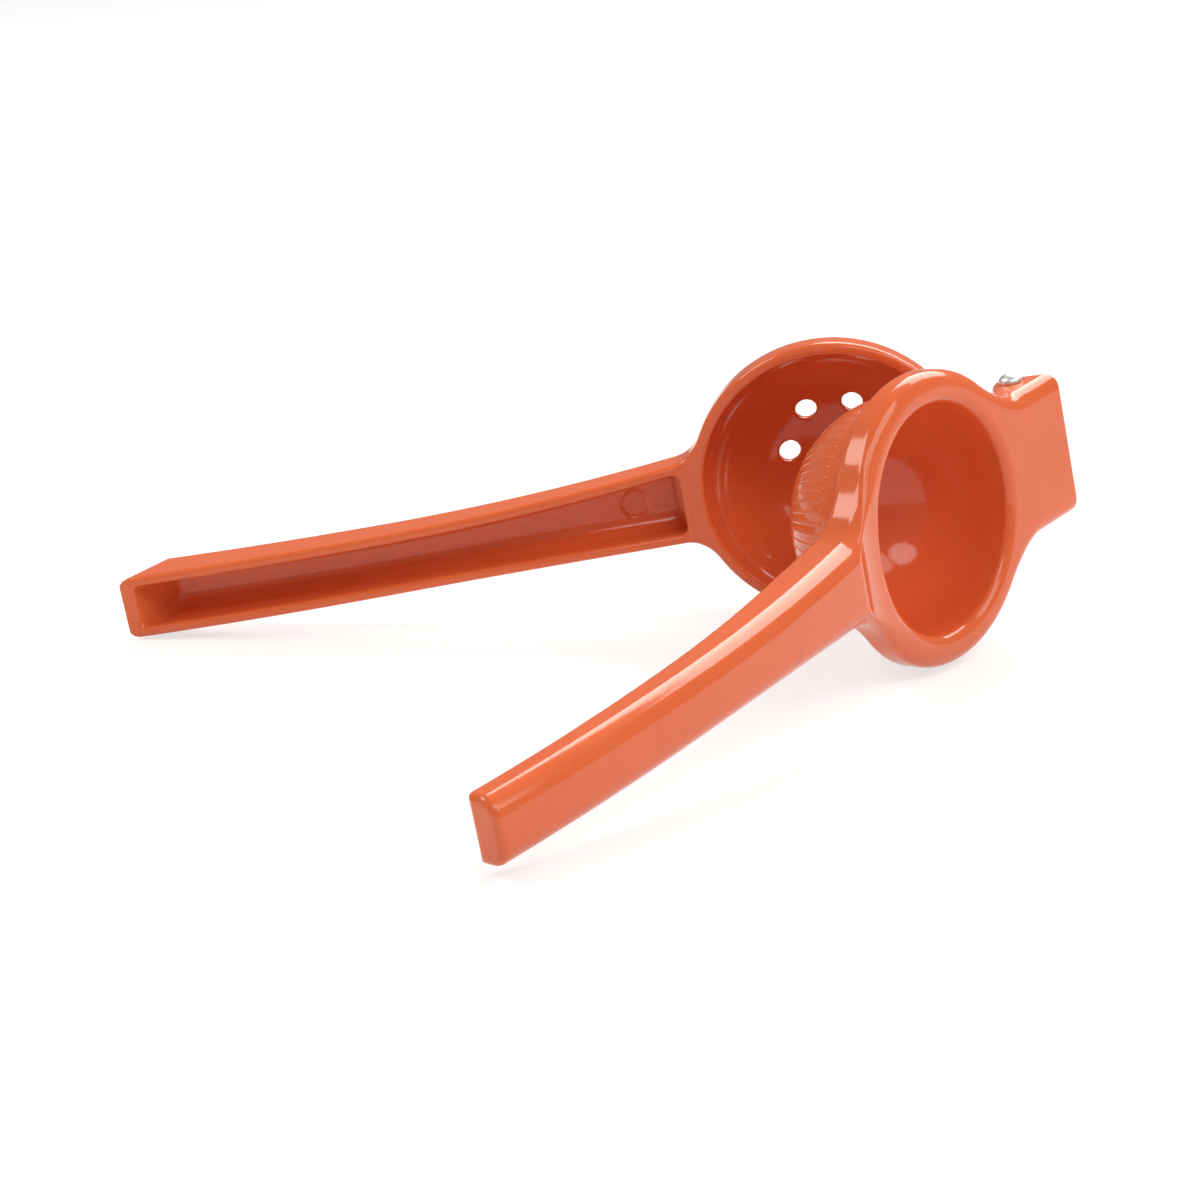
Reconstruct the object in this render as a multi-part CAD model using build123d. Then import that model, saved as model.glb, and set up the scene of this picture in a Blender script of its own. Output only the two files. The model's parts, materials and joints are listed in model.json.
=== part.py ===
from build123d import *
import math
import os

# Lever citrus squeezer: a strainer cup arm, a press arm and the pin they turn on.
# Both arms are drawn closed, with the hinge axis along Y through the origin, the handles
# towards +X and the press above the cup. Then the press is opened, and the whole is laid
# on its side. Lengths are in millimetres, angles in degrees.

# Reach along the arms, from the hinge axis
head_reach = 44.3
cup_handle_reach = 214.0
press_handle_reach = 215.5
tab_reach = 7.5

# Heads
head_radius = 33.4
closed_gap = 0.8
cup_inset = 0.4
cup_rim_width = 2.6
cup_wall = 2.2
cup_band_height = 7.0
cup_band_round = 1.4
cup_lip_round = 0.8
cup_foot_round = 0.5
ring_height = 8.4
ring_round = 3.2
flange_width = 5.2
dome_foot_round = 4.4
dome_wall = 2.2
hollow_lip_round = 2.6

# Juice holes
juice_hole_diameter = 5.0
juice_ring_radius = 11.2
juice_ring_count = 6

# Handles: rims that follow one bowed line, backs at their own depths
crest_reach = 195.0
crest_height = 13.6
bow_radius = 510.0
tip_width = 15.0
root_width = 21.2
flare_reach = 150.0
handle_wall = 2.4
handle_floor = 2.6
back_round = 4.5
channel_round = 2.0
press_root_depth = 13.6
press_mid_depth = 9.8
press_tip_depth = 8.4
press_tip_lean = 1.4
cup_root_depth = 12.0
cup_mid_depth = 13.0
cup_tip_depth = 15.4
cup_tip_lean = 11.5
cove_round = 5.9
root_overlap = 6.0

# Hinge
tab_width = 34.0
neck_round = 7.0
knuckle_radius = 4.7
tail_thickness = 5.2
tail_round = 1.6
under_step = 1.5
tongue_width = 15.0
tongue_side_clearance = 0.35
knuckle_clearance = 0.5
tongue_thickness = 6.2
pin_diameter = 4.0
pin_running_clearance = 0.05
pin_head_diameter = 5.6
pin_head_height = 2.0

# Pose
opening_angle = 55.5

# Worked out from the sizes above
half_gap = closed_gap / 2
cup_radius = head_radius - cup_inset
cup_inner_radius = cup_radius - cup_rim_width
cup_outer_radius = cup_inner_radius + cup_wall
dome_radius = head_radius - flange_width
hollow_radius = dome_radius - dome_wall
cup_ball_height = -half_gap - cup_lip_round
root_reach = head_reach + cup_inner_radius - root_overlap
cup_channel_reach = head_reach + head_radius + handle_wall
press_channel_reach = cup_channel_reach + cove_round
margin = 60.0
size_step = 0.01


def rim_height(reach):
    """Height of the bowed line that both handle rims follow."""
    return crest_height - bow_radius + math.sqrt(bow_radius**2 - (reach - crest_reach) ** 2)


def bowed_arc(start, end, heights):
    """Arc in the side view through the ends and the middle of a stretch of handle."""
    middle = (start + end) / 2
    points = [(reach, height) for reach, height in zip((start, middle, end), heights)]
    return ThreePointArc(*points)


def rim_arc(start, end, shift):
    """Stretch of the rim line, lifted or lowered by half the closed gap."""
    stations = (start, (start + end) / 2, end)
    return bowed_arc(start, end, [rim_height(reach) + shift for reach in stations])


def back_heights(start, end, depths, side):
    """Heights of a handle's back, a depth beyond its rim at root, middle and end."""
    stations = (start, (start + end) / 2, end)
    return [rim_height(reach) + side * (half_gap + depth) for reach, depth in zip(stations, depths)]


def side_slab(edges, width):
    """Solid from an outline in the side view, of the given width across the arm."""
    return extrude(Plane.XZ * make_face(edges), width / 2, both=True)


def plan_slab(start, end, inset):
    """Tall solid with the handles' plan: straight from the tip, then flaring to the root."""
    half_tip = tip_width / 2 - inset
    half_root = root_width / 2 - inset
    halves = []
    for side in (1, -1):
        straight = Line((end, side * half_tip), (flare_reach, side * half_tip))
        flare = TangentArc((flare_reach, side * half_tip), (start, side * half_root), tangent=(-1, 0))
        halves += [straight, flare]
    halves.append(Line((end, half_tip), (end, -half_tip)))
    halves.append(Line((start, half_root), (start, -half_root)))
    return Pos(0, 0, -margin) * extrude(make_face(halves), 2 * margin)


def handle_outline(tip, lean, depths, side):
    """Side view of a handle, from the head's wall to its tip. Side is +1 for the press."""
    back_tip = tip + lean
    back = back_heights(root_reach, back_tip, depths, side)
    rim = rim_arc(root_reach, tip, side * half_gap)
    return [
        rim,
        Line(rim @ 1, (back_tip, back[2])),
        bowed_arc(root_reach, back_tip, back),
        Line((root_reach, back[0]), rim @ 0),
    ]


def channel_outline(tip, lean, depths, side, start):
    """Side view of the space inside a handle, open through the rim."""
    end = tip - handle_wall
    floor_end = end + lean
    lifted = [depth - handle_floor for depth in depths]
    floor = back_heights(start, floor_end, lifted, side)
    mouth = rim_height(crest_reach) - side * margin / 2
    return [
        bowed_arc(start, floor_end, floor),
        Line((floor_end, floor[2]), (end, rim_height(end))),
        Line((end, rim_height(end)), (end, mouth)),
        Line((end, mouth), (start, mouth)),
        Line((start, mouth), (start, floor[0])),
    ]


def long_back_edges(block, side):
    """The two rows of edges between a handle's back and its flanks."""
    flanks = [face for face in block.faces() if abs(face.normal_at().Y) > 0.9]
    backs = [face for face in block.faces() if face.normal_at().Z * side > 0.8]
    back_edges = [edge for face in backs for edge in face.edges()]
    return [edge for face in flanks for edge in face.edges() if edge in back_edges]


def handle(tip, lean, depths, side, channel_start):
    """U-shaped handle, open towards the other arm."""
    outline = handle_outline(tip, lean, depths, side)
    block = side_slab(outline, 2 * root_width) & plan_slab(root_reach, tip + margin, 0)
    block = fillet(long_back_edges(block, side), back_round)
    channel = side_slab(channel_outline(tip, lean, depths, side, channel_start), 2 * root_width)
    channel = channel & plan_slab(channel_start, tip + margin, handle_wall)
    channel = fillet(channel.edges().filter_by(Axis.Z), channel_round)
    return block - channel


def turned(section):
    """Solid turned from a half section about the head's own axis."""
    return Pos(head_reach, 0, 0) * revolve(Plane.XZ * section, Axis.Z)


def round_circle(solid, radius, height, rounding):
    """Round the circular edge of a head at the given radius and height."""
    circles = solid.edges().filter_by(GeomType.CIRCLE)
    near = [
        edge
        for edge in circles
        if abs(edge.radius - radius) < size_step and abs(edge.arc_center.Z - height) < size_step
    ]
    return fillet(near, rounding)


def quarter_disc(radius, height):
    """Half section of a half ball that hangs below the given height."""
    arc = CenterArc((0, height), radius, -90, 90)
    return make_face([arc, Line(arc @ 1, (0, height)), Line((0, height), arc @ 0)])


def band_section(radius, low, high):
    """Half section of a plain disc between two heights."""
    return Pos(radius / 2, (low + high) / 2) * Rectangle(radius, high - low)


def cup_head():
    """Strainer cup: a round bowl with a plain band at its rim."""
    rim = -half_gap
    bowl = quarter_disc(cup_outer_radius, cup_ball_height)
    solid = turned(bowl + band_section(cup_radius, rim - cup_band_height, rim))
    solid = round_circle(solid, cup_radius, rim, cup_band_round)
    solid = round_circle(solid, cup_radius, rim - cup_band_height, cup_foot_round)
    return solid


def bowl_space(radius, ball_height, top, lip):
    """Room inside a bowl: a half ball, a bore up to the rim and a rounded lip."""
    room = turned(quarter_disc(radius, ball_height) + band_section(radius, ball_height, top))
    ring = turned(band_section(radius + lip, top - lip, top))
    bead = Pos(head_reach, 0, top - lip) * Torus(radius + lip, lip)
    return room + (ring - bead)


def juice_holes():
    """Drills for the middle hole and the ring round it, one of them towards the handle."""
    drill = Pos(0, 0, -margin / 2) * Cylinder(juice_hole_diameter / 2, margin)
    ring = PolarLocations(juice_ring_radius, juice_ring_count)
    drills = [drill] + [place * drill for place in ring]
    return [Pos(head_reach, 0, 0) * each for each in drills]


def press_cove():
    """Room above the ring, with a hollow round up to the handle's back."""
    foot = ring_height + cove_round
    arc = CenterArc((head_radius, foot), cove_round, -90, 90)
    corner = (head_radius + cove_round, margin)
    section = [
        Line((0, ring_height), arc @ 0),
        arc,
        Line(arc @ 1, corner),
        Line(corner, (0, margin)),
        Line((0, margin), (0, ring_height)),
    ]
    return turned(make_face(section))


def neck_plan():
    """Plan of the ring and its tab, with hollow corners where they meet."""
    strip = Pos((head_reach - tab_reach) / 2, 0) * Rectangle(head_reach + tab_reach, tab_width)
    plan = strip + Pos(head_reach, 0) * Circle(head_radius)
    middle = [corner for corner in plan.vertices() if -tab_reach + size_step < corner.X]
    return fillet(middle, neck_round)


def tab_outline():
    """Side view of ring and tab: flat outside, round under the pin, with a tail beyond it."""
    under_reach = head_reach - head_radius - under_step
    tail_low = Pos(tail_round - tab_reach, ring_height - tail_thickness + tail_round) * Circle(tail_round)
    edges = [
        *Circle(knuckle_radius).edges(),
        *tail_low.edges(),
        Line((-tab_reach, ring_height), (under_reach, ring_height)),
        Line((under_reach, half_gap), (under_reach, ring_height)),
    ]
    far = head_reach + head_radius
    plate = Pos(far / 2, (half_gap + ring_height) / 2) * Rectangle(far, ring_height - half_gap)
    return make_hull(edges) + plate


def press_plate():
    """Ring and hinge tab in one, cut from the side view by the plan, rounded except at the tail."""
    plan = Pos(0, 0, -margin) * extrude(neck_plan(), 2 * margin)
    slab = extrude(Plane.XZ * tab_outline(), margin, both=True) & plan
    outer_edges = slab.faces().sort_by(Axis.Z)[-1].edges().sort_by(Axis.X)
    return fillet(outer_edges[1:], ring_round)


def press_dome():
    """Half ball that presses the fruit."""
    return turned(quarter_disc(dome_radius, half_gap + size_step))


def tongue_outline(growth):
    """Side view of the cup's hinge tongue, grown by a clearance for its slot."""
    low = -half_gap - tongue_thickness - growth
    high = -half_gap + growth
    reach = head_reach - head_radius
    edges = [*Circle(knuckle_radius + growth).edges(), Line((reach, low), (reach, high))]
    foot = Pos(reach + cup_wall / 2, (low + high) / 2) * Rectangle(cup_wall, high - low)
    return make_hull(edges) + foot


def across(outline, width):
    """Solid from a side view, of the given width across the hinge."""
    return extrude(Plane.XZ * outline, width / 2, both=True)


def cup_arm():
    """Strainer cup, handle and hinge tongue, cast in one."""
    depths = (cup_root_depth, cup_mid_depth, cup_tip_depth)
    body = cup_head() + handle(cup_handle_reach, -cup_tip_lean, depths, -1, cup_channel_reach)
    body += across(tongue_outline(0), tongue_width)
    body -= bowl_space(cup_inner_radius, cup_ball_height, -half_gap, cup_lip_round)
    for drill in juice_holes():
        body -= drill
    body -= across(Circle(pin_diameter / 2 + pin_running_clearance), 2 * tongue_width)
    return body


def press_arm():
    """Pressing dome, ring, handle and hinge ears, cast in one."""
    depths = (press_root_depth, press_mid_depth, press_tip_depth)
    body = press_plate() + press_dome()
    body = round_circle(body, dome_radius, half_gap, dome_foot_round)
    grip = handle(press_handle_reach, press_tip_lean, depths, 1, press_channel_reach)
    body += grip - press_cove()
    body -= bowl_space(hollow_radius, half_gap, ring_height, hollow_lip_round)
    body -= across(tongue_outline(knuckle_clearance), tongue_width + 2 * tongue_side_clearance)
    body -= across(Circle(pin_diameter / 2), 2 * tab_width)
    return body


def hinge_pin():
    """Rivet with a domed head at each end."""
    shank = across(Circle(pin_diameter / 2), tab_width)
    ball_radius = (pin_head_height**2 + (pin_head_diameter / 2) ** 2) / (2 * pin_head_height)
    ball = Pos(0, 0, pin_head_height - ball_radius) * Sphere(ball_radius)
    cap = ball & Pos(0, 0, margin / 2) * Box(margin, margin, margin)
    near_head = Pos(0, tab_width / 2, 0) * Rot(-90, 0, 0) * cap
    far_head = Pos(0, -tab_width / 2, 0) * Rot(90, 0, 0) * cap
    return shank + near_head + far_head


def lie_tilt():
    """Angle the hinge axis leans by when rims and handle tips both touch the table."""
    along = press_handle_reach - head_reach
    half_tip = tip_width / 2
    dip = math.asin(head_radius / math.hypot(along, half_tip)) - math.atan2(half_tip, along)
    return math.degrees(math.atan(math.tan(dip) / math.cos(math.radians(opening_angle / 2))))


def laid_down(piece):
    """Lay a piece on its side, handles towards -X and the press towards -Y, tips on the table."""
    half_opening = math.radians(opening_angle / 2)
    lean_axis = Axis((0, 0, 0), (math.sin(half_opening), -math.cos(half_opening), 0))
    side_plane = Plane(origin=(0, 0, 0), x_dir=(-1, 0, 0), z_dir=(0, -1, 0))
    return (side_plane.location * piece).rotate(lean_axis, lie_tilt())


opened = Rot(0, -opening_angle, 0)
nodes = {
    "cup_arm": laid_down(cup_arm()),
    "press_arm": laid_down(opened * press_arm()),
    "hinge_pin": laid_down(hinge_pin()),
}
box = Compound(list(nodes.values())).bounding_box()
to_base = Pos(-(box.min.X + box.max.X) / 2, -(box.min.Y + box.max.Y) / 2, -box.min.Z)
os.makedirs("parts", exist_ok=True)
for name, piece in nodes.items():
    export_step(to_base * piece, f"parts/{name}.step")

hinge_line = to_base * laid_down(Edge.make_line((0, 0, 0), (0, -1, 0)))
print("size", box.size)
print("hinge through", hinge_line @ 0, "along", hinge_line % 0.5)
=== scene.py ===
# %% [markdown]
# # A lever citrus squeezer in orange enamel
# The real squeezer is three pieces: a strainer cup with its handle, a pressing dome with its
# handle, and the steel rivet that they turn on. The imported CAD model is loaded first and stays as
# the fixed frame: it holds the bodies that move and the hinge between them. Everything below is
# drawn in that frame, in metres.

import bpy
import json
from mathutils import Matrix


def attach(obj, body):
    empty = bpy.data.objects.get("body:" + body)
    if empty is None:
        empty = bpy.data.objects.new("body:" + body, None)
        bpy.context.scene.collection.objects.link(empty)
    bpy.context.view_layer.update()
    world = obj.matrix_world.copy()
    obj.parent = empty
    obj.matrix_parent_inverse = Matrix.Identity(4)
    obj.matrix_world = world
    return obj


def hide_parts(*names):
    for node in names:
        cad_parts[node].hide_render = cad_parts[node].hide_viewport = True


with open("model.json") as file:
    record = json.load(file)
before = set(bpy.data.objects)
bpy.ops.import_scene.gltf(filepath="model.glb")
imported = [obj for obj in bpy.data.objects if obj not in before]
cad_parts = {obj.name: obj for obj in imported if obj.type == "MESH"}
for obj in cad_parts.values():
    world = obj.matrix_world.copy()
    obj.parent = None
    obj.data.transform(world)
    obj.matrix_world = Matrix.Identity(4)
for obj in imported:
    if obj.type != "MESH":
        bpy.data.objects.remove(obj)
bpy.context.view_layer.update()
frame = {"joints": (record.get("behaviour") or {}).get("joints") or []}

import json
import math

import bmesh
import bpy
import numpy as np
from mathutils import Matrix, Vector

# %% [markdown]
# Both castings are easiest to describe closed, as a pattern maker would draw them: u runs along
# the arm from the hinge, v runs across it, and w rises from the plane where the two heads meet,
# all in millimetres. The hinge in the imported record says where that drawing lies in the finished
# pose. Its lower stop is one degree short of closed, which tells how far the arms stand open.

# %% Where the two arms lie
MILLIMETRE = 0.001
STOP_BEFORE_CLOSED = 1.0
hinge = frame["joints"][0]
pivot = Vector(hinge["pos_m"])
pin_axis = Vector(hinge["axis"]).normalized()
opening = STOP_BEFORE_CLOSED - hinge["range_deg"][0]
lean = Vector((0, 0, 1)).rotation_difference(pin_axis).to_matrix()
cup_axes = lean @ Matrix(((-1, 0, 0), (0, 0, -1), (0, -1, 0)))
press_axes = Matrix.Rotation(math.radians(opening), 3, pin_axis) @ cup_axes
print("the arms stand open by", opening, "degrees")
print("the pin leans by", round(math.degrees(pin_axis.angle((0, 0, 1))), 2), "degrees")


# %% [markdown]
# A die casting has no sharp corners: every edge is rounded and every inner corner is filled.
# Box modelling with bevels could give that, but bevels struggle where a handle runs into a ball.
# So the arms are described as distance fields: functions that are negative inside the metal and
# grow with the distance from it. Two fields are joined with a hollow fillet, or cut from each
# other with a rounded edge, and the radius is simply a number.

# %% Joining and cutting fields
def joined(a, b, radius):
    """Either shape, with a hollow fillet where they meet."""
    return np.maximum(np.minimum(a, b), radius) - np.hypot(
        np.maximum(radius - a, 0), np.maximum(radius - b, 0)
    )


def common(a, b, radius):
    """What two shapes share, with its edge rounded."""
    return np.minimum(np.maximum(a, b), -radius) + np.hypot(
        np.maximum(a + radius, 0), np.maximum(b + radius, 0)
    )


def cut(a, b, radius):
    """The first shape without the second, with the edge between them rounded."""
    return common(a, -b, radius)


def eased(x, start, end, low, high):
    """A value that goes smoothly from low to high between two places."""
    t = np.clip((x - start) / (end - start), 0, 1)
    return low + (high - low) * t * t * (3 - 2 * t)


print("a 4 mm fillet fills a square corner by", round(-float(joined(0, 0, 4)), 2), "mm")

# %% [markdown]
# Both handle rims follow one bowed line, so that the arms nest when they close. It is a long arc,
# highest at its crest near the tips. The sizes are those of the CAD model.

# %% The bowed rim line
BOW_RADIUS = 510.0
CREST_REACH, CREST_HEIGHT = 195.0, 13.6
bow_centre = CREST_HEIGHT - BOW_RADIUS


def rim_height(u):
    """Height of the rim line at a reach along the arm."""
    return bow_centre + math.sqrt(BOW_RADIUS**2 - (u - CREST_REACH) ** 2)


def above_rim_line(u, w):
    """Height over the rim line, measured square to it."""
    return np.hypot(u - CREST_REACH, w - bow_centre) - BOW_RADIUS


print("rim height at root, middle and tip", [round(rim_height(u), 2) for u in (78, 140, 214)])

# %% [markdown]
# The heads come next, because the handles start from them. Ring and cup share one radius, and
# the cup's rim and wall and the dome's flange and wall are taken off it step by step, as a
# pattern maker would. One thing changed here then moves everything that fits it.

# %% Sizes of the two heads
HEAD_REACH, HEAD_RADIUS = 44.3, 33.4
CLOSED_GAP = 0.8
HALF_GAP = CLOSED_GAP / 2
CUP_INSET, CUP_RIM_WIDTH, CUP_WALL, CUP_LIP_DROP = 0.4, 2.6, 2.2, 0.8
CUP_RADIUS = HEAD_RADIUS - CUP_INSET
CUP_INSIDE = CUP_RADIUS - CUP_RIM_WIDTH
CUP_OUTSIDE = CUP_INSIDE + CUP_WALL
BALL_HEIGHT = -HALF_GAP - CUP_LIP_DROP
FLANGE_WIDTH, DOME_WALL = 5.2, 2.2
DOME_RADIUS = HEAD_RADIUS - FLANGE_WIDTH
HOLLOW_RADIUS = DOME_RADIUS - DOME_WALL


def round_room(from_axis, w, radius, height):
    """A half ball below the given height, with a straight bore above it."""
    ball = np.hypot(from_axis, w - height) - radius
    return np.where(w > height, from_axis - radius, ball)


print("the closed dome leaves", round(CUP_INSIDE - DOME_RADIUS, 2), "mm of room in the cup")

# %% [markdown]
# Seen from above, a handle is straight near its tip and flares gently to its root. Seen from the
# side, its back is an arc of its own, through three depths beyond the rim. Arcs are used because
# they bend evenly, and a highlight shows every kink.

# %% Width and back of a handle
ROOT_OVERLAP = 6.0
ROOT_REACH = HEAD_REACH + CUP_INSIDE - ROOT_OVERLAP
ROOT_WIDTH, TIP_WIDTH, FLARE_REACH = 21.2, 15.0, 150.0
flare_length, flare_depth = FLARE_REACH - ROOT_REACH, (ROOT_WIDTH - TIP_WIDTH) / 2
flare_radius = (flare_length**2 + flare_depth**2) / (2 * flare_depth)


def half_width(u):
    """Half the handles' width at a reach along the arm."""
    away = np.maximum(FLARE_REACH - u, 0)
    return TIP_WIDTH / 2 + flare_radius - np.sqrt(flare_radius**2 - away**2)


def above_arc(points):
    """Height over the arc through three points of the side view. The arc bows upwards."""
    (x1, y1), (x2, y2), (x3, y3) = points
    d = 2 * (x1 * (y2 - y3) + x2 * (y3 - y1) + x3 * (y1 - y2))
    s1, s2, s3 = x1**2 + y1**2, x2**2 + y2**2, x3**2 + y3**2
    centre_u = (s1 * (y2 - y3) + s2 * (y3 - y1) + s3 * (y1 - y2)) / d
    centre_w = (s1 * (x3 - x2) + s2 * (x1 - x3) + s3 * (x2 - x1)) / d
    radius = math.hypot(x1 - centre_u, y1 - centre_w)
    return lambda u, w: np.hypot(u - centre_u, w - centre_w) - radius


def back_line(end, depths, side):
    """A handle's back, at three depths beyond its rim."""
    stations = (ROOT_REACH, (ROOT_REACH + end) / 2, end)
    heights = [rim_height(u) + side * (HALF_GAP + depth) for u, depth in zip(stations, depths)]
    return above_arc(list(zip(stations, heights)))


print("the flare is an arc of", round(flare_radius), "mm radius")

# %% [markdown]
# Inside, each handle is hollow like a gutter, which saves metal and lets the casting cool evenly.
# The gutter keeps one wall's distance from the flanks and the end, and its corners are filled
# generously, as the draft of a die asks for.

# %% The gutter inside a handle
HANDLE_WALL, HANDLE_FLOOR = 2.4, 2.6
GUTTER_CORNER, GUTTER_END_ROUND = 4.0, 1.8


def gutter(u, v, back, start, end):
    """The space inside a handle, from its start to a wall's thickness before its end."""
    flanks = np.abs(v) - (half_width(u) - HANDLE_WALL)
    trough = common(flanks, back + HANDLE_FLOOR, GUTTER_CORNER)
    return common(trough, np.maximum(start - u, end + HANDLE_WALL), GUTTER_END_ROUND)


gutter_width = 2 * (float(half_width(CREST_REACH)) - HANDLE_WALL)
print("near its tip a gutter is", round(gutter_width, 1), "mm wide")

# %% [markdown]
# At the hinge, a narrow tongue on the cup turns between two ears on the press arm. From the side
# the tongue is a bar that tapers from a round knuckle on the pin to its foot in the cup's band.
# The slot between the ears is the same bar with a clearance added, so that they always fit.

# %% The hinge tongue
PIN_RADIUS, PIN_CLEARANCE, BORE_EDGE = 2.0, 0.05, 0.2
KNUCKLE = 4.7
TONGUE_WIDTH, TONGUE_THICKNESS, TONGUE_REACH = 15.0, 6.2, 11.0
TONGUE_FOOT_RADIUS = TONGUE_THICKNESS / 2
TONGUE_FOOT = (TONGUE_REACH, -HALF_GAP - TONGUE_FOOT_RADIUS)


def tapered_bar(u, w, knuckle, far, far_radius):
    """A bar in the side view, from a knuckle round the pin to a round end."""
    length = math.hypot(*far)
    along = (u * far[0] + w * far[1]) / length
    aside = np.abs(u * far[1] - w * far[0]) / length
    taper = (knuckle - far_radius) / length
    straight = math.sqrt(1 - taper**2)
    place = along * straight - aside * taper
    flank = aside * straight + along * taper - knuckle
    start = np.hypot(aside, along) - knuckle
    end = np.hypot(aside, along - length) - far_radius
    return np.where(place < 0, start, np.where(place > straight * length, end, flank))


def tongue_bar(u, w, clearance):
    """The tongue from the side, with a clearance all round it."""
    return tapered_bar(u, w, KNUCKLE + clearance, TONGUE_FOOT, TONGUE_FOOT_RADIUS + clearance)


print("metal round the pin", round(KNUCKLE - PIN_RADIUS, 2), "mm")

# %% [markdown]
# The cup arm from outside: a bowl with a plain band at its rim, and a handle whose end slants
# back. A bowl alone could be turned from a profile, but the handle has to flow out of it, so bowl,
# band and handle are joined as fields. The rim is rounded a little more round the bowl than along
# the handle, and the rounding eases from one to the other.

# %% The cup arm from outside
CUP_TIP, CUP_TIP_LEAN = 214.0, 11.5
CUP_DEPTHS = (12.0, 13.0, 15.4)
BAND_HEIGHT, BAND_ROUND, BAND_FILLET = 7.0, 1.0, 1.0
CUP_BACK_ROUND, CUP_ROOT_FILLET = 4.6, 5.0
CUP_RIM_BLEND, CUP_RIM_AT_BOWL, CUP_RIM_ON_HANDLE = (74, 90), 1.5, 1.2
CUP_TIP_ROUND, CUP_TIP_CORNER = 0.7, 2.4
cup_back = back_line(CUP_TIP - CUP_TIP_LEAN, CUP_DEPTHS, -1)


def past_cup_tip(u, w):
    """Distance past the slanting end of the cup's handle."""
    slant = CUP_TIP_LEAN / CUP_DEPTHS[2]
    drop = rim_height(CUP_TIP) - HALF_GAP - w
    return (u - CUP_TIP + drop * slant) / math.hypot(1, slant)


def cup_outside(u, v, w):
    """Bowl, band and handle before anything is hollowed out."""
    from_axis = np.hypot(u - HEAD_REACH, v)
    bowl = round_room(from_axis, w, CUP_OUTSIDE, BALL_HEIGHT)
    band = common(from_axis - CUP_RADIUS, -HALF_GAP - BAND_HEIGHT - w, BAND_ROUND)
    flank = np.abs(v) - half_width(u)
    grip = np.maximum(common(flank, -cup_back(u, w), CUP_BACK_ROUND), HEAD_REACH - u)
    body = joined(joined(bowl, band, BAND_FILLET), grip, CUP_ROOT_FILLET)
    top = np.minimum(w + HALF_GAP, above_rim_line(u, w) + HALF_GAP)
    body = common(body, top, eased(u, *CUP_RIM_BLEND, CUP_RIM_AT_BOWL, CUP_RIM_ON_HANDLE))
    end = past_cup_tip(u, w)
    body = common(body, end, CUP_TIP_ROUND)
    squared = np.maximum(body, common(flank, end, CUP_TIP_CORNER))
    return np.where(u > FLARE_REACH, squared, body)


print("the cup arm ends", CUP_TIP, "mm from the hinge")

# %% [markdown]
# Then the cup arm is finished as in the shop: the tongue is added, the bowl and the gutter are
# hollowed, seven holes are drilled for the juice, and the tongue is bored for the pin. A faint
# round mark in the gutter is left where a pin pushed the hot casting out of its die. The holes are
# drills subtracted from the field, so their edges get a rounding too, as enamel gives them.

# %% The cup arm, hollowed and drilled
TONGUE_EDGE, TONGUE_FILLET = 0.8, 1.2
CUP_LIP, CUP_GUTTER_LIP = 1.0, 1.0
CUP_GUTTER_REACH = HEAD_REACH + HEAD_RADIUS + HANDLE_WALL
MARK_REACH, MARK_EDGE, MARK_DEPTH = 92.0, (2.6, 3.8), 0.4
HOLE_RING, HOLE_RADIUS, HOLE_EDGE, HOLE_TOP = 11.2, 2.5, 0.45, -10
HOLE_COUNT = 6
TONGUE_BORE = PIN_RADIUS + PIN_CLEARANCE
hole_places = [(0.0, 0.0)]
for number in range(HOLE_COUNT):
    around = math.radians(360 * number / HOLE_COUNT)
    hole_places.append((HOLE_RING * math.cos(around), HOLE_RING * math.sin(around)))


def cup_field(u, v, w):
    """The whole cup arm."""
    from_axis = np.hypot(u - HEAD_REACH, v)
    tongue = common(np.abs(v) - TONGUE_WIDTH / 2, tongue_bar(u, w, 0), TONGUE_EDGE)
    body = joined(cup_outside(u, v, w), tongue, TONGUE_FILLET)
    body = cut(body, round_room(from_axis, w, CUP_INSIDE, BALL_HEIGHT), CUP_LIP)
    mark = eased(np.hypot(u - MARK_REACH, v), *MARK_EDGE, MARK_DEPTH, 0)
    back = -cup_back(u, w) - mark
    body = cut(body, gutter(u, v, back, CUP_GUTTER_REACH, past_cup_tip(u, w)), CUP_GUTTER_LIP)
    for x, y in hole_places:
        drill = np.hypot(u - HEAD_REACH - x, v - y) - HOLE_RADIUS
        body = cut(body, np.maximum(drill, w - HOLE_TOP), HOLE_EDGE)
    return cut(body, np.hypot(u, w) - TONGUE_BORE, BORE_EDGE)


print(len(hole_places), "juice holes of", 2 * HOLE_RADIUS, "mm")

# %% [markdown]
# The press arm seen from above is one outline: the ring, a tab that carries the ears, and the
# handle, with filled corners between them. Seen from the side, the ring's face rises towards the
# handle and meets its back in a ridge. The outline is made first, and is then given its top.

# %% The press arm's outline and top
PRESS_TIP, PRESS_TIP_LEAN = 215.5, 1.4
PRESS_DEPTHS = (13.6, 9.8, 8.4)
TAB_WIDTH, TAB_FILLET, GRIP_FILLET = 34.0, 7.0, 9.0
RING_HEIGHT = 8.4
SWEEP_RISE, SWEEP_START, SWEEP_RADIUS = 1.9, 73.0, 38.0
press_back = back_line(PRESS_TIP + PRESS_TIP_LEAN, PRESS_DEPTHS, 1)


def press_plan(u, v):
    """Ring, tab and handle seen from above. The tab runs on here, and is cut to length later."""
    ring = np.hypot(u - HEAD_REACH, v) - HEAD_RADIUS
    tab = np.maximum(np.abs(v) - TAB_WIDTH / 2, u - HEAD_REACH)
    grip = np.maximum(np.abs(v) - half_width(u), HEAD_REACH - u)
    return joined(joined(ring, tab, TAB_FILLET), grip, GRIP_FILLET)


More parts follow.
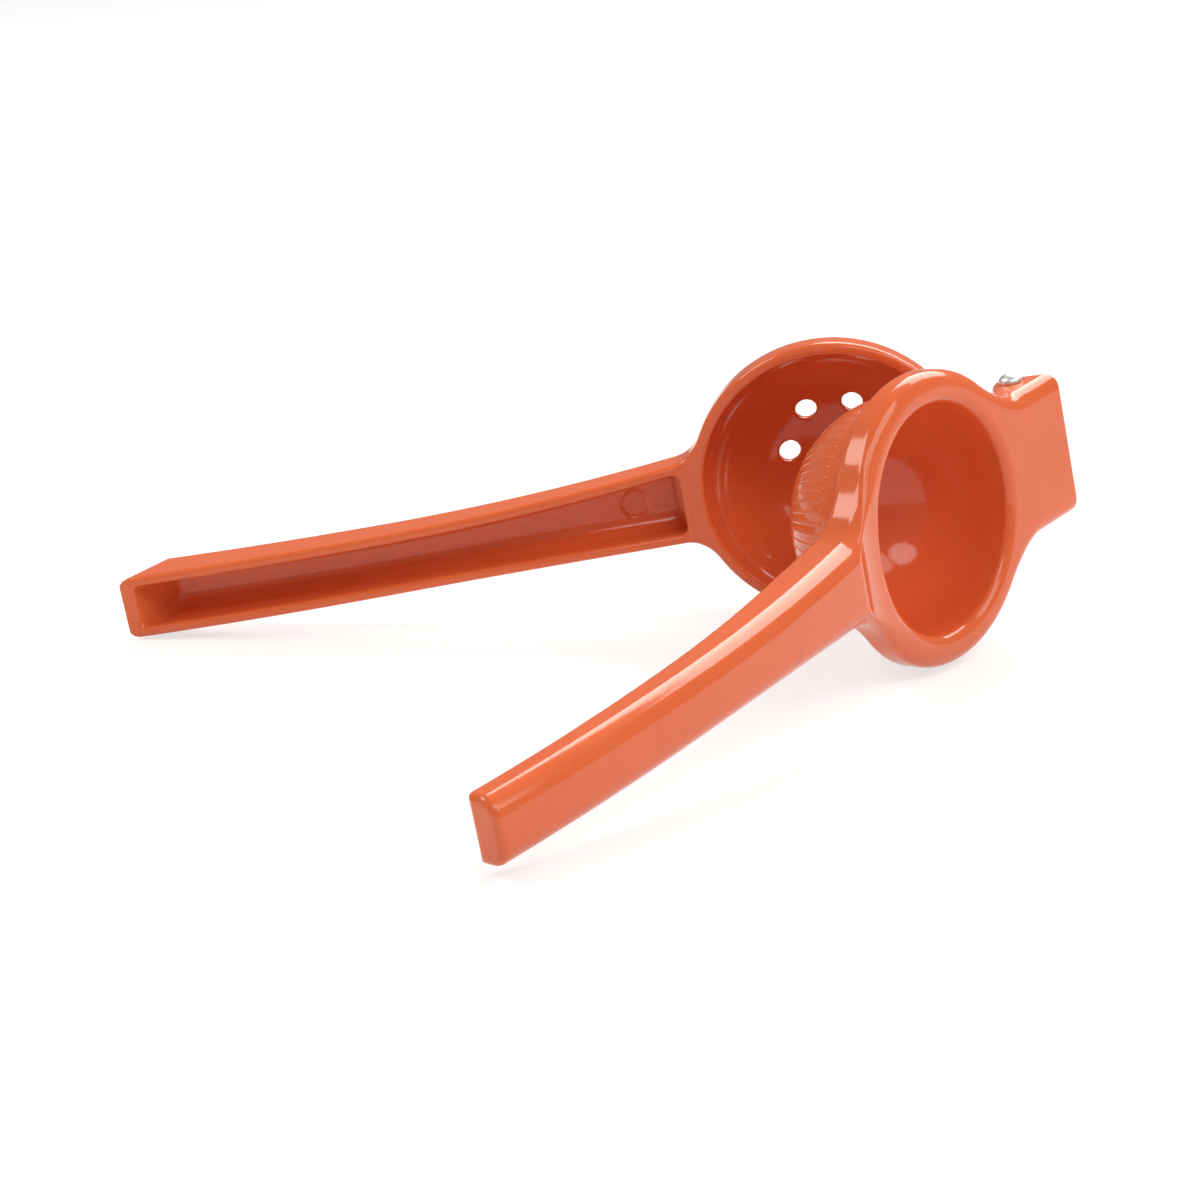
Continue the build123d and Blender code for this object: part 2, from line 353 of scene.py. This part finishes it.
def above_ring(u, w):
    """Height over the ring's face, which sweeps up towards the handle."""
    past = np.maximum(u - HEAD_REACH, 0) / HOLLOW_RADIUS
    late = np.maximum(u - SWEEP_START, 0)
    steep = 2 * SWEEP_RISE * past / HOLLOW_RADIUS + late / SWEEP_RADIUS
    face = RING_HEIGHT + SWEEP_RISE * past**2 + late**2 / (2 * SWEEP_RADIUS)
    return (w - face) / np.sqrt(1 + steep**2)


print("the ring's face rises by", SWEEP_RISE, "mm up to the edge of the hollow")

# %% [markdown]
# The underside goes round the knuckle, up a small step to the plane where the heads meet, and on
# along the handle's rim. Two straight lines that touch the knuckle make the hinge end, one towards
# the tail of the tab and one towards the ring, and a line is easy to give as a distance.

# %% The press arm's underside
TAB_REACH, TAIL_THICKNESS, TAIL_ROUND = 7.5, 5.2, 1.6
TAIL_PLACE = (TAIL_ROUND - TAB_REACH, RING_HEIGHT - TAIL_THICKNESS + TAIL_ROUND)
UNDER_STEP, UNDER_FILLET, UNDER_START, BOW_FILLET = 1.5, 1.5, 2.0, 6.0
FOOT_PLACE = (HEAD_REACH - HEAD_RADIUS - UNDER_STEP, HALF_GAP)


def line_round_knuckle(place, radius, side):
    """Distance beyond a line that touches the knuckle and a second circle of the side view."""
    angle = math.atan2(place[1], place[0])
    angle += side * math.acos((KNUCKLE - radius) / math.hypot(*place))
    return lambda u, w: u * math.cos(angle) + w * math.sin(angle) - KNUCKLE


tail_line = line_round_knuckle(TAIL_PLACE, TAIL_ROUND, 1)
foot_line = line_round_knuckle(FOOT_PLACE, 0.0, -1)


def under_press(u, w):
    """Distance below the underside, from the tail to the handle's tip."""
    knuckle = common(tail_line(u, w), foot_line(u, w), KNUCKLE)
    under = joined(knuckle, np.maximum(HALF_GAP - w, UNDER_START - u), UNDER_FILLET)
    return common(under, HALF_GAP - above_rim_line(u, w), BOW_FILLET)


print("the foot of the ears lies", round(FOOT_PLACE[0], 2), "mm from the hinge")

# %% [markdown]
# Outline, top and underside are cut out of each other, and each edge gets the rounding that the
# real casting shows: broad on the ring and the handle's back, nearly sharp on the ridge between
# them. Some roundings change along the arm, which a bevel can't do and a field can.

# %% The press arm from outside
PRESS_BACK_ROUND = 4.8
RIDGE_BLEND, RING_ROUND, RIDGE_ROUND = (64, 80), 3.4, 0.3
PRESS_RIM_BLEND, RING_FOOT_ROUND, PRESS_RIM_ROUND = (74, 88), 2.2, 0.8
TAIL_EDGE, TAIL_CORNER, PRESS_TIP_ROUND = 0.9, 2.0, 1.8


def past_press_tip(u, w):
    """Distance past the slightly leaning end of the press handle."""
    slant = PRESS_TIP_LEAN / PRESS_DEPTHS[2]
    rise = w - rim_height(PRESS_TIP) - HALF_GAP
    return (u - PRESS_TIP - rise * slant) / math.hypot(1, slant)


def press_outside(u, v, w):
    """Ring, tab and handle before anything is hollowed out."""
    plan = press_plan(u, v)
    body = common(plan, press_back(np.maximum(u, ROOT_REACH), w), PRESS_BACK_ROUND)
    body = common(body, above_ring(u, w), eased(u, *RIDGE_BLEND, RING_ROUND, RIDGE_ROUND))
    under_round = eased(u, *PRESS_RIM_BLEND, RING_FOOT_ROUND, PRESS_RIM_ROUND)
    body = common(body, under_press(u, w), under_round)
    past_tail = -TAB_REACH - u
    body = np.maximum(common(body, past_tail, TAIL_EDGE), common(plan, past_tail, TAIL_CORNER))
    return common(body, past_press_tip(u, w), PRESS_TIP_ROUND)


print("the press arm is", round(PRESS_TIP + TAB_REACH, 1), "mm long")

# %% [markdown]
# Last come the dome and what is taken away: the hollow behind the dome, the gutter, the slot for
# the tongue and the bore for the pin. The pin is tight here and loose in the tongue, so it turns
# with the press arm.

# %% The press arm, with dome and hollows
DOME_TOP, DOME_FILLET, HOLLOW_LIP = 4.0, 5.0, 2.6
RIDGE_SETBACK, PRESS_GUTTER_LIP = 5.9, 0.7
PRESS_GUTTER_REACH = CUP_GUTTER_REACH + RIDGE_SETBACK
SLOT_SIDE_CLEARANCE, SLOT_CLEARANCE, SLOT_EDGE = 0.35, 0.5, 0.4


def press_field(u, v, w):
    """The whole press arm."""
    from_axis = np.hypot(u - HEAD_REACH, v)
    dome = np.maximum(np.hypot(from_axis, w - HALF_GAP) - DOME_RADIUS, w - DOME_TOP)
    body = joined(press_outside(u, v, w), dome, DOME_FILLET)
    body = cut(body, round_room(from_axis, w, HOLLOW_RADIUS, HALF_GAP), HOLLOW_LIP)
    trough = gutter(u, v, press_back(u, w), PRESS_GUTTER_REACH, past_press_tip(u, w))
    body = cut(body, trough, PRESS_GUTTER_LIP)
    slot_flank = np.abs(v) - (TONGUE_WIDTH / 2 + SLOT_SIDE_CLEARANCE)
    slot = np.maximum(slot_flank, tongue_bar(u, w, SLOT_CLEARANCE))
    body = cut(body, slot, SLOT_EDGE)
    return cut(body, np.hypot(u, w) - PIN_RADIUS, BORE_EDGE)


print("the press gutter starts", round(PRESS_GUTTER_REACH, 1), "mm from the hinge")

# %% [markdown]
# A field becomes a mesh in two steps. First the space is filled with small cells, and the field is
# measured at all their corners. Where it changes sign along an edge of a cell, the surface passes,
# and the two values tell how far along the edge. A ball is tried first.

# %% Where the surface passes
CELL = 0.6
TRIAL_RADIUS = 5
TRIAL_SPACE = ((-6, -6, -6), (6, 6, 6))


def sampled(field, low, high, step):
    """A field's values at the corners of all cells."""
    lines = []
    for first, last in zip(low, high):
        count = math.ceil((last - first) / step) + 1
        lines.append(np.float32(first) + np.float32(step) * np.arange(count, dtype=np.float32))
    values = field(*np.ix_(*lines))
    return np.ascontiguousarray(np.broadcast_to(values, [len(line) for line in lines]))


def crossings(values, axis):
    """Edges along an axis that the surface crosses, the spots, and which edges run inwards."""
    near = tuple(slice(None, -1) if k == axis else slice(None) for k in range(3))
    far = tuple(slice(1, None) if k == axis else slice(None) for k in range(3))
    places = np.argwhere((values[near] < 0) != (values[far] < 0))
    start = values[near][tuple(places.T)]
    stop = values[far][tuple(places.T)]
    spots = places.astype(np.float32)
    spots[:, axis] += start / (start - stop)
    return places, spots, start >= 0


def trial_ball(u, v, w):
    """A ball, to try the steps on."""
    return np.sqrt(u**2 + v**2 + w**2) - TRIAL_RADIUS


ball_values = sampled(trial_ball, *TRIAL_SPACE, CELL)
print("the trial ball crosses", len(crossings(ball_values, 0)[0]), "edges along u")

# %% [markdown]
# Every cell that the surface crosses gets one point, in the middle of the crossings on its edges,
# and every crossed edge joins the four cells round it with a quad. Such a mesh has no poles and no
# slivers, and it is closed wherever the space is large enough.

# %% From field to rough mesh
CELLS_ROUND_EDGE = ((-1, -1), (0, -1), (0, 0), (-1, 0))


def crossing_mesh(field, low, high, step):
    """Points and quads of the surface where a field changes sign."""
    values = sampled(field, low, high, step)
    strides = np.array([values.shape[1] * values.shape[2], values.shape[2], 1])
    sums = np.zeros((values.size, 3), np.float32)
    hits = np.zeros(values.size, np.float32)
    quads = []
    for axis in range(3):
        places, spots, inwards = crossings(values, axis)
        cells = []
        for aside, upward in CELLS_ROUND_EDGE:
            cell = places.copy()
            cell[:, (axis + 1) % 3] += aside
            cell[:, (axis + 2) % 3] += upward
            key = cell @ strides
            cells.append(key)
            for k in range(3):
                sums[:, k] += np.bincount(key, spots[:, k], len(hits)).astype(np.float32)
            hits += np.bincount(key, minlength=len(hits)).astype(np.float32)
        ring = np.stack(cells, 1)
        ring[inwards] = ring[inwards][:, ::-1]
        quads.append(ring)
    used = np.flatnonzero(hits)
    order = np.zeros(len(hits), np.int64)
    order[used] = np.arange(len(used))
    points = sums[used] / hits[used][:, None] * step + np.array(low, np.float32)
    return points.astype(float), order[np.concatenate(quads)]


ball_points, ball_quads = crossing_mesh(trial_ball, *TRIAL_SPACE, CELL)
print("the trial ball has", len(ball_points), "points and", len(ball_quads), "quads")

# %% [markdown]
# Second, each point slides along the field's slope until it lies on the surface, and the points
# spread evenly over it. A subdivision would only smooth the steps of the cells, while this puts
# every point where the formula says. The ball shows how close the points come.

# %% Points onto the surface
SLOPE_REACH = 0.02
FLATTEST = 0.05
TINY = 1e-9


def slope(field, points):
    """The field's slope at each point."""
    parts = []
    for k in range(3):
        ahead, behind = points.copy(), points.copy()
        ahead[:, k] += SLOPE_REACH
        behind[:, k] -= SLOPE_REACH
        parts.append((field(*ahead.T) - field(*behind.T)) / (2 * SLOPE_REACH))
    return np.stack(parts, 1)


def outward_normals(field, points):
    """The slope, made one unit long."""
    normals = slope(field, points)
    return normals / np.maximum(np.linalg.norm(normals, axis=1, keepdims=True), TINY)


def settled(field, points, rounds, limit):
    """Points moved along the slope onto the surface."""
    for _ in range(rounds):
        gradient = slope(field, points)
        share = field(*points.T) / np.maximum((gradient**2).sum(1), FLATTEST)
        move = share[:, None] * gradient
        length = np.linalg.norm(move, axis=1, keepdims=True)
        points = points - move * np.minimum(1, limit / np.maximum(length, TINY))
    return points


def evened(field, points, quads, rounds, limit):
    """Points spread evenly over the surface, each halfway to the middle of its neighbours."""
    ends = np.concatenate([quads[:, [i, (i + 1) % 4]] for i in range(4)])
    shares = np.bincount(ends[:, 0], minlength=len(points))[:, None]
    for _ in range(rounds):
        middle = np.zeros_like(points)
        for k in range(3):
            middle[:, k] = np.bincount(ends[:, 0], points[ends[:, 1], k], len(points))
        drift = middle / shares - points
        normal = outward_normals(field, points)
        drift -= (drift * normal).sum(1, keepdims=True) * normal
        points = settled(field, points + drift / 2, 1, limit)
    return points


ball_points = settled(trial_ball, ball_points, rounds=3, limit=CELL / 2)
print("the ball's points lie within", float(np.abs(trial_ball(*ball_points.T)).max()), "mm")

# %% [markdown]
# Now both arms are cast. Cells of 0.6 mm are fine enough for the smallest roundings and keep each
# arm under 200,000 triangles. The slope of the field is also given to Blender as the shading
# normal, so highlights run over the enamel as smoothly as over the formula itself.

# %% Cast the two arms
LONG_STEP, SHORT_STEP = 0.5 * CELL, 0.3 * CELL
CUP_SPACE = ((-7, -36, -36), (217, 36, 17))
PRESS_SPACE = ((-10, -36, -30), (220, 36, 25))


def in_scene(name, data):
    """A new object of this name, in the scene and at the origin."""
    thing = bpy.data.objects.new(name, data)
    bpy.context.scene.collection.objects.link(thing)
    return thing


def casting(name, field, axes, space):
    """A smooth mesh object of a field, in its place in the finished pose."""
    points, quads = crossing_mesh(field, *space, CELL)
    points = settled(field, points, rounds=3, limit=LONG_STEP)
    points = evened(field, points, quads, rounds=3, limit=SHORT_STEP)
    points = settled(field, points, rounds=2, limit=SHORT_STEP)
    turn = np.array(axes).T
    mesh = bpy.data.meshes.new(name)
    mesh.from_pydata((points @ turn * MILLIMETRE + np.array(pivot)).tolist(), [], quads.tolist())
    mesh.shade_smooth()
    mesh.normals_split_custom_set_from_vertices((outward_normals(field, points) @ turn).tolist())
    print(name, len(points), "points", 2 * len(quads), "triangles")
    return in_scene(name, mesh)


cup_casting = casting("cup_casting", cup_field, cup_axes, CUP_SPACE)
press_casting = casting("press_casting", press_field, press_axes, PRESS_SPACE)

# %% [markdown]
# The rivet is turned: a shank with a low domed head at each end. Half of its profile is drawn,
# mirrored for the lower head, and spun about the pin's axis, which is how a lathe would make it.
# The points on the axis are merged, so that the mesh is closed, and its faces are turned outwards.

# %% The rivet
RIVET_HEAD, RIVET_HEAD_HEIGHT, RIVET_HEAD_SIDE = 2.8, 2.0, 0.25
RIVET_EDGE, RIVET_SINK, RIVET_NECK = 0.05, 0.05, 0.5
RIVET_STEPS, MERGE_DISTANCE = 48, 1e-4
tab_side = TAB_WIDTH / 2
half_profile = [(PIN_RADIUS, tab_side - RIVET_NECK), (RIVET_HEAD - RIVET_EDGE, tab_side - RIVET_SINK)]
for climb in range(0, 91, 10):
    outward = RIVET_HEAD * math.cos(math.radians(climb))
    upward = (RIVET_HEAD_HEIGHT - RIVET_HEAD_SIDE) * math.sin(math.radians(climb))
    half_profile.append((outward, tab_side + RIVET_HEAD_SIDE + upward))
rivet_profile = [(x, -y) for x, y in reversed(half_profile)] + half_profile


def placed(axes):
    """The move from millimetres of the closed drawing to the finished pose."""
    return Matrix.Translation(pivot) @ (axes @ Matrix.Scale(MILLIMETRE, 3)).to_4x4()


def turned_piece(name, profile, axes, steps):
    """A profile of (distance from the axis, place along v) spun about the v axis."""
    shape = bmesh.new()
    line = [shape.verts.new((x, y, 0)) for x, y in profile]
    edges = [shape.edges.new(pair) for pair in zip(line, line[1:])]
    round_v = {"axis": (0, 1, 0), "cent": (0, 0, 0), "angle": 2 * math.pi}
    bmesh.ops.spin(shape, geom=line + edges, steps=steps, **round_v)
    bmesh.ops.remove_doubles(shape, verts=shape.verts, dist=MERGE_DISTANCE)
    bmesh.ops.recalc_face_normals(shape, faces=shape.faces)
    mesh = bpy.data.meshes.new(name)
    shape.to_mesh(mesh)
    shape.free()
    mesh.transform(placed(axes))
    mesh.shade_smooth()
    print(name, len(mesh.polygons), "faces")
    return in_scene(name, mesh)


rivet = turned_piece("rivet", rivet_profile, press_axes, RIVET_STEPS)

# %% [markdown]
# Finishes and repeated shapes are both made with nodes. Two helpers keep that short: one fills a
# node's inputs, by a link where it is given another node's output and by a plain value elsewhere,
# and one adds a node with its inputs filled.

# %% Helpers for nodes
def fill(tree, node, inputs):
    """Links a node's inputs, or sets them to plain values."""
    for key, value in inputs.items():
        if isinstance(value, bpy.types.NodeSocket):
            tree.links.new(value, node.inputs[key])
        else:
            node.inputs[key].default_value = value


def add_node(tree, kind, inputs, **fields):
    """A new node with its fields set and its inputs filled."""
    node = tree.nodes.new(kind)
    for key, value in fields.items():
        setattr(node, key, value)
    fill(tree, node, inputs)
    return node


def reckon(tree, operation, *terms):
    """The result of a calculation on one or two terms."""
    node = add_node(tree, "ShaderNodeMath", dict(enumerate(terms)), operation=operation)
    return node.outputs[0]


print("nodes are added by kind, such as", bpy.types.ShaderNodeMath.__name__)

# %% [markdown]
# The arms are finished in a thick glossy enamel. A plain colour would look like plastic. On the
# real thing the colour drifts a little from place to place, the surface has the faint waves that
# painters call orange peel, and the gloss isn't quite even. Three noises of different grain give
# these, on Object coordinates, so that the pattern stays with the piece.

# %% The enamel
NOISE_LOW, NOISE_HIGH = 0.3, 0.7


def noise(tree, scale, detail):
    """Soft random patches that stay with the piece."""
    place = add_node(tree, "ShaderNodeTexCoord", {}).outputs["Object"]
    grain = {"Vector": place, "Scale": scale, "Detail": detail}
    return add_node(tree, "ShaderNodeTexNoise", grain).outputs["Fac"]


def drifting_colour(tree, patches, stops):
    """A colour that drifts between two shades, each given with its place on the ramp."""
    ramp = add_node(tree, "ShaderNodeValToRGB", {"Fac": patches})
    for element, (place, shade) in zip(ramp.color_ramp.elements, stops):
        element.position = place
        element.color = (*shade, 1)
    return ramp.outputs["Color"]


def drifting_value(tree, patches, low, high):
    """A value that drifts between two limits."""
    limits = {"From Min": NOISE_LOW, "From Max": NOISE_HIGH, "To Min": low, "To Max": high}
    return add_node(tree, "ShaderNodeMapRange", {"Value": patches, **limits}).outputs[0]


def fine_waves(tree, patches, strength, distance):
    """A surface direction that follows fine waves."""
    waves = {"Height": patches, "Strength": strength, "Distance": distance}
    return add_node(tree, "ShaderNodeBump", waves).outputs["Normal"]


def new_finish(name):
    """A new material, with its node tree."""
    material = bpy.data.materials.new(name)
    material.use_nodes = True
    return material, material.node_tree


enamel, paint = new_finish("orange_enamel")
DEEP_ORANGE, PALE_ORANGE = (0.760, 0.138, 0.042), (0.800, 0.151, 0.048)
orange_stops = ((NOISE_LOW, DEEP_ORANGE), (NOISE_HIGH, PALE_ORANGE))
enamel_sockets = {
    "Base Color": drifting_colour(paint, noise(paint, scale=45, detail=3), orange_stops),
    "Roughness": drifting_value(paint, noise(paint, scale=160, detail=4), low=0.09, high=0.13),
    "Normal": fine_waves(paint, noise(paint, scale=700, detail=2), strength=0.12, distance=0.0001),
    "Specular IOR Level": 0.42,
}
fill(paint, paint.nodes["Principled BSDF"], enamel_sockets)
for arm in (cup_casting, press_casting):
    arm.data.materials.append(enamel)
print(enamel.name, "has", len(paint.nodes), "nodes")

# %% [markdown]
# The rivet is bare steel, hammered and a little worn: brighter and duller patches, a satin gloss
# and a fine roughness. The same helpers give it, with finer grains, because the rivet is small.

# %% The steel
steel, metal = new_finish("rivet_steel")
DULL_STEEL, BRIGHT_STEEL = (0.74, 0.73, 0.72), (0.90, 0.89, 0.87)
steel_stops = ((0, DULL_STEEL), (1, BRIGHT_STEEL))
steel_sockets = {
    "Metallic": 1.0,
    "Base Color": drifting_colour(metal, noise(metal, scale=900, detail=4), steel_stops),
    "Roughness": drifting_value(metal, noise(metal, scale=1500, detail=3), low=0.36, high=0.48),
    "Normal": fine_waves(metal, noise(metal, scale=2500, detail=2), strength=0.1, distance=0.00005),
}
fill(metal, metal.nodes["Principled BSDF"], steel_sockets)
rivet.data.materials.append(steel)
print(steel.name, "has", len(metal.nodes), "nodes")

# %% [markdown]
# The dome has fine ribs that grip the fruit. They start at a circle below the ring and run to
# the tip, thinner as they go. One rib follows an arc of the dome, sunk so far that only its back
# shows, and Geometry Nodes repeat it all round. They could be copied by hand, but the count, the
# height and the start then wouldn't stay numbers that can be changed.

# %% One rib as a node tree
RIB_POINTS, RIB_SIDES = 40, 10
NOSE_PARTS, NOSE_LEFT = 22.0, 1.02
RIB_SIZES = (
    ("Rib count", "NodeSocketInt", 66),
    ("Dome radius", "NodeSocketFloat", DOME_RADIUS),
    ("Rib radius", "NodeSocketFloat", 1.1),
    ("Sink", "NodeSocketFloat", 0.96),
    ("Start angle", "NodeSocketFloat", math.radians(10)),
    ("End angle", "NodeSocketFloat", math.radians(79)),
)


def one_rib(tree, given):
    """A rod along a meridian of the dome, with a blunt nose, thinner towards the tip."""
    line = add_node(tree, "GeometryNodeCurvePrimitiveLine", {}).outputs[0]
    path = add_node(tree, "GeometryNodeResampleCurve", {"Curve": line, "Count": RIB_POINTS})
    along = add_node(tree, "GeometryNodeSplineParameter", {}).outputs["Factor"]
    sweep = reckon(tree, "SUBTRACT", given["End angle"], given["Start angle"])
    angle = reckon(tree, "ADD", given["Start angle"], reckon(tree, "MULTIPLY", sweep, along))
    narrowing = reckon(tree, "COSINE", angle)
    from_nose = reckon(tree, "MINIMUM", reckon(tree, "MULTIPLY", along, NOSE_PARTS), 1.0)
    nose = reckon(tree, "SUBTRACT", 1.0, from_nose)
    blunt = reckon(tree, "SUBTRACT", NOSE_LEFT, reckon(tree, "MULTIPLY", nose, nose))
    thick = reckon(tree, "MULTIPLY", given["Rib radius"], narrowing)
    thick = reckon(tree, "MULTIPLY", thick, reckon(tree, "SQRT", blunt))
    sunk = reckon(tree, "MULTIPLY", given["Sink"], narrowing)
    reach = reckon(tree, "SUBTRACT", given["Dome radius"], sunk)
    depth = reckon(tree, "MULTIPLY", reach, reckon(tree, "SINE", angle))
    spot = {"X": reckon(tree, "MULTIPLY", reach, narrowing), "Z": reckon(tree, "MULTIPLY", depth, -1.0)}
    place = add_node(tree, "ShaderNodeCombineXYZ", spot).outputs[0]
    bent = {"Geometry": path.outputs[0], "Position": place}
    meridian = add_node(tree, "GeometryNodeSetPosition", bent).outputs[0]
    ring = {"Resolution": RIB_SIDES, "Radius": 1.0}
    section = add_node(tree, "GeometryNodeCurvePrimitiveCircle", ring).outputs[0]
    rod = {"Curve": meridian, "Profile Curve": section, "Scale": thick, "Fill Caps": True}
    return add_node(tree, "GeometryNodeCurveToMesh", rod).outputs[0]


print("the ribs have", len(RIB_SIZES), "sizes:", ", ".join(label for label, _, _ in RIB_SIZES))

# %% [markdown]
# The tree then sets one rib on each of 66 points, turned by its share of a full round. The copies
# are made real, because an export drops instances, and the enamel is set on them.

# %% The ring of ribs
def rib_tree(material):
    """The tree that lays ribs round a dome, and the value of each of its inputs."""
    tree = bpy.data.node_groups.new("dome_ribs", "GeometryNodeTree")
    tree.interface.new_socket("Geometry", in_out="OUTPUT", socket_type="NodeSocketGeometry")
    sizes = {}
    for label, kind, value in RIB_SIZES:
        socket = tree.interface.new_socket(label, in_out="INPUT", socket_type=kind)
        sizes[socket.identifier] = value
    given = tree.nodes.new("NodeGroupInput").outputs
    points = add_node(tree, "GeometryNodePoints", {"Count": given["Rib count"]}).outputs[0]
    number = add_node(tree, "GeometryNodeInputIndex", {}).outputs[0]
    turn = reckon(tree, "MULTIPLY", number, 2 * math.pi)
    share = reckon(tree, "DIVIDE", turn, given["Rib count"])
    spin = add_node(tree, "ShaderNodeCombineXYZ", {"Z": share}).outputs[0]
    rows = {"Points": points, "Instance": one_rib(tree, given), "Rotation": spin}
    copies = add_node(tree, "GeometryNodeInstanceOnPoints", rows).outputs[0]
    smooth = add_node(tree, "GeometryNodeSetShadeSmooth", {"Geometry": copies}).outputs[0]
    real = add_node(tree, "GeometryNodeRealizeInstances", {0: smooth}).outputs[0]
    painted = add_node(tree, "GeometryNodeSetMaterial", {"Geometry": real, "Material": material})
    add_node(tree, "NodeGroupOutput", {0: painted.outputs[0]})
    return tree, sizes


def dome_ribs(material):
    """The ribs as a plain mesh in their place under the ring."""
    holder = in_scene("rib_holder", bpy.data.meshes.new("rib_holder"))
    modifier = holder.modifiers.new("ribs", "NODES")
    modifier.node_group, sizes = rib_tree(material)
    for socket, size in sizes.items():
        modifier[socket] = size
    bpy.context.view_layer.update()
    shown = holder.evaluated_get(bpy.context.evaluated_depsgraph_get())
    mesh = bpy.data.meshes.new_from_object(shown)
    bpy.data.objects.remove(holder)
    mesh.name = "dome_ribs"
    mesh.transform(placed(press_axes) @ Matrix.Translation((HEAD_REACH, 0, HALF_GAP)))
    print("dome_ribs", len(mesh.polygons), "faces")
    return in_scene("dome_ribs", mesh)


ribs = dome_ribs(enamel)

# %% [markdown]
# Each piece is tied to the body it moves with, and printed with the name of the record's finish
# that goes with it. The ribs belong to the press arm, so they ride with it. The rivet is tight in
# the ears, so it rides with the press arm too. The CAD arms and pin are then hidden.

# %% Tie the pieces to the bodies
for piece, body, slot in (
    (cup_casting, "cup", "enamel"),
    (press_casting, "press", "enamel"),
    (ribs, "press", "enamel"),
    (rivet, "press", "pin_steel"),
):
    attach(piece, body)
    print(piece.name, "rides on", body, "in", slot)
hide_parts("cup_arm")
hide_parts("press_arm")
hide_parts("hinge_pin")

# %% [markdown]
# The squeezer lies on a plain pale floor, as in a product studio. To the camera, and in
# reflections, the floor glows white by itself and keeps a faint shadow. To all other light it is
# an ordinary matt floor, so it doesn't flood the enamel with light. A dim white world fills in.

# %% Floor and surroundings
FLOOR_HALF = 6
FLOOR_LIT, FLOOR_SHADED, FLOOR_GLOW = 0.86, 0.36, 0.70
WORLD_LIGHT = 0.27


def matt(tree, share):
    """A matt white that sends back the given share of its light."""
    return add_node(tree, "ShaderNodeBsdfDiffuse", {"Color": (share, share, share, 1)}).outputs[0]


def white_when_seen(tree, lit, shaded, glow):
    """A lit surface that looks white where it is seen, but keeps the shadow that falls on it."""
    path = add_node(tree, "ShaderNodeLightPath", {}).outputs
    direct = reckon(tree, "MAXIMUM", path["Is Camera Ray"], path["Is Glossy Ray"])
    seen = reckon(tree, "MAXIMUM", direct, path["Is Transmission Ray"])
    light = add_node(tree, "ShaderNodeEmission", {"Strength": glow}).outputs[0]
    white = add_node(tree, "ShaderNodeAddShader", {0: light, 1: matt(tree, shaded)}).outputs[0]
    choice = {"Fac": seen, 1: matt(tree, lit), 2: white}
    return add_node(tree, "ShaderNodeMixShader", choice).outputs[0]


floor_mesh = bpy.data.meshes.new("floor")
floor_corners = [(x * FLOOR_HALF, y * FLOOR_HALF, 0) for x, y in ((-1, -1), (1, -1), (1, 1), (-1, 1))]
floor_mesh.from_pydata(floor_corners, [], [(0, 1, 2, 3)])
floor = in_scene("floor", floor_mesh)
floor_finish, ground = new_finish("studio_floor")
floor_white = white_when_seen(ground, FLOOR_LIT, FLOOR_SHADED, FLOOR_GLOW)
fill(ground, ground.nodes["Material Output"], {"Surface": floor_white})
floor_mesh.materials.append(floor_finish)

world = bpy.data.worlds.new("studio")
bpy.context.scene.world = world
world.use_nodes = True
around_all = {"Color": (1, 1, 1, 1), "Strength": WORLD_LIGHT}
fill(world.node_tree, world.node_tree.nodes["Background"], around_all)
print("floor of", 2 * FLOOR_HALF, "m, world at", WORLD_LIGHT)

# %% [markdown]
# Glossy enamel shows its lamps, so their shapes matter as much as their light. Four large soft
# lamps hang round the squeezer. Rectangles give the long strips along handle and ring, and an
# oval one gives the round gleam in the hollow of the dome. A lamp's brightness is set as it is
# mirrored, and the power follows from its area.

# %% Lamps
AIM = Vector((0, 0, 0.03))
WARM_WHITE = (1.0, 0.96, 0.90)


def soft_lamp(name, shape, place, size, brightness):
    """A soft lamp aimed at the squeezer, as bright as wanted wherever it is mirrored."""
    lamp = bpy.data.lights.new(name, "AREA")
    lamp.shape = shape
    lamp.size, lamp.size_y = size
    lamp.color = WARM_WHITE
    lamp.energy = brightness * math.pi * size[0] * size[1]
    holder = in_scene(name, lamp)
    holder.location = place
    holder.rotation_euler = (AIM - Vector(place)).to_track_quat("-Z", "Y").to_euler()
    print(name, round(lamp.energy, 1), "W")


soft_lamp("back_lamp", "RECTANGLE", place=(0.45, 1.0, 0.95), size=(1.3, 0.7), brightness=6.0)
soft_lamp("left_lamp", "RECTANGLE", place=(-0.85, -0.03, 1.0), size=(0.6, 0.5), brightness=6.5)
soft_lamp("right_lamp", "RECTANGLE", place=(0.9, -0.25, 0.95), size=(0.7, 0.7), brightness=3.2)
soft_lamp("front_lamp", "ELLIPSE", place=(0.37, -0.72, 0.99), size=(0.6, 0.5), brightness=3.2)

# %% [markdown]
# The camera stands where the photograph was taken from: in front, a little above and about a
# metre away, with a long lens, so that the near handle is hardly larger than the far one. Its
# place is measured from the hinge, and three angles turn it, as on a tripod head.

# %% Camera
SENSOR_WIDTH, LENS = 36.0, 120.798
VIEW_FROM_HINGE = Vector((-0.01462, -0.91597, 0.20855))
VIEW_TURN, VIEW_TILT, VIEW_ROLL = 5.2835, -14.8216, -1.8459
NEAREST = 0.05
camera = bpy.data.cameras.new("photo_view")
camera.sensor_width = SENSOR_WIDTH
camera.lens = LENS
camera.clip_start = NEAREST
viewer = in_scene("photo_view", camera)
head_turn = Matrix.Rotation(math.radians(VIEW_TURN), 4, "Z")
head_tilt = Matrix.Rotation(math.radians(90 + VIEW_TILT), 4, "X")
head_roll = Matrix.Rotation(math.radians(VIEW_ROLL), 4, "Z")
viewer.matrix_world = Matrix.Translation(pivot + VIEW_FROM_HINGE) @ head_turn @ head_tilt @ head_roll
bpy.context.scene.camera = viewer
bpy.context.scene.view_settings.view_transform = "Standard"
print("camera", round(VIEW_FROM_HINGE.length, 2), "m from the hinge")
